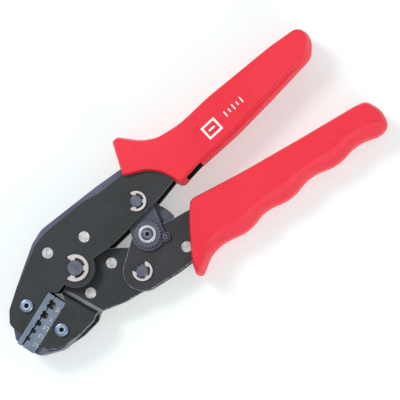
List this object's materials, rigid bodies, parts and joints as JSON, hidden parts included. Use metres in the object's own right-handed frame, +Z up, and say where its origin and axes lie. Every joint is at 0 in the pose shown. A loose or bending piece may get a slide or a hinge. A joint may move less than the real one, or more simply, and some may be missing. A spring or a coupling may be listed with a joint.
{
  "type": "crimping tool",
  "caption": "Hand-held ratchet crimping tool with a toggle linkage, a pair of screwed-in crimping dies and two moulded grips, stored nearly closed and lying flat.",
  "frame": {"origin": "under the middle of the tool's bounding box, on the surface that it lies on", "axes": "+X from the jaws to the handle ends, +Y from the lower handle towards the upper one, +Z up out of the front face, along the pivot pins"},
  "size_m": [0.1956, 0.0741, 0.022],
  "materials": {
    "black_oxide_steel": "satin black oxide",
    "blued_steel": "blued, semi-bright",
    "die_steel": "ground, bluish",
    "bright_steel": "bright",
    "spring_steel": "bright",
    "red_grip": "satin moulded"
  },
  "bodies": {
    "frame": {"frame_plate_front": "black_oxide_steel", "frame_plate_back": "black_oxide_steel", "frame_core": "blued_steel", "frame_rivets": "bright_steel", "upper_die": "die_steel", "upper_die_screw": "blued_steel", "pivot_pin": "blued_steel", "pivot_clip": "spring_steel", "pivot_bushes": "bright_steel", "return_spring": "spring_steel", "link_pin": "blued_steel", "link_pin_clip": "spring_steel", "upper_grip": "red_grip"},
    "lower_jaw": {"jaw_plate_front": "black_oxide_steel", "jaw_plate_back": "black_oxide_steel", "jaw_block": "blued_steel", "jaw_rivets": "bright_steel", "lower_die": "die_steel", "lower_die_screw": "blued_steel", "handle_pin": "blued_steel", "handle_pin_clip": "spring_steel"},
    "handle": {"handle_plate_front": "black_oxide_steel", "handle_plate_back": "black_oxide_steel", "handle_spacer": "black_oxide_steel", "handle_rivets": "bright_steel", "pawl_pin": "blued_steel", "pawl_spring": "spring_steel", "lower_grip": "red_grip"},
    "pawl": {"pawl": "black_oxide_steel"},
    "link": {"link_plate_front": "black_oxide_steel", "link_plate_back": "black_oxide_steel", "ratchet_plate": "black_oxide_steel", "link_washers": "bright_steel", "lock_screw": "blued_steel"},
    "adjuster": {"eccentric_pin": "blued_steel", "star_wheel": "blued_steel", "wheel_washer": "bright_steel", "wheel_screw": "blued_steel"}
  },
  "joints": [
    {"name": "jaw_pivot", "type": "hinge", "parent": "frame", "child": "lower_jaw", "pos_m": [-0.05586, 0.00115, 0.011], "axis": [0, 0, 1], "range_deg": [-1.3, 15]},
    {"name": "handle_pivot", "type": "hinge", "parent": "lower_jaw", "child": "handle", "pos_m": [-0.03266, -0.01864, 0.011], "axis": [0, 0, 1], "range_deg": [-45, 4]},
    {"name": "link_pivot", "type": "hinge", "parent": "frame", "child": "link", "pos_m": [-0.01507, 0.00785, 0.011], "axis": [0, 0, 1], "range_deg": [-3, 33]},
    {"name": "pawl_pivot", "type": "hinge", "parent": "handle", "child": "pawl", "pos_m": [0.00513, -0.01534, 0.011], "axis": [0, 0, 1], "range_deg": [-12, 12], "stiffness_Nm_per_rad": 0.01},
    {"name": "adjuster_turn", "type": "hinge", "parent": "link", "child": "adjuster", "pos_m": [-0.02037, -0.00715, 0.011], "axis": [0, 0, 1], "range_deg": [-90, 90]}
  ],
  "couplings": [
    {"joint": "handle_pivot", "follows": "jaw_pivot", "ratio": -2.985},
    {"joint": "link_pivot", "follows": "jaw_pivot", "ratio": 2.179}
  ]
}
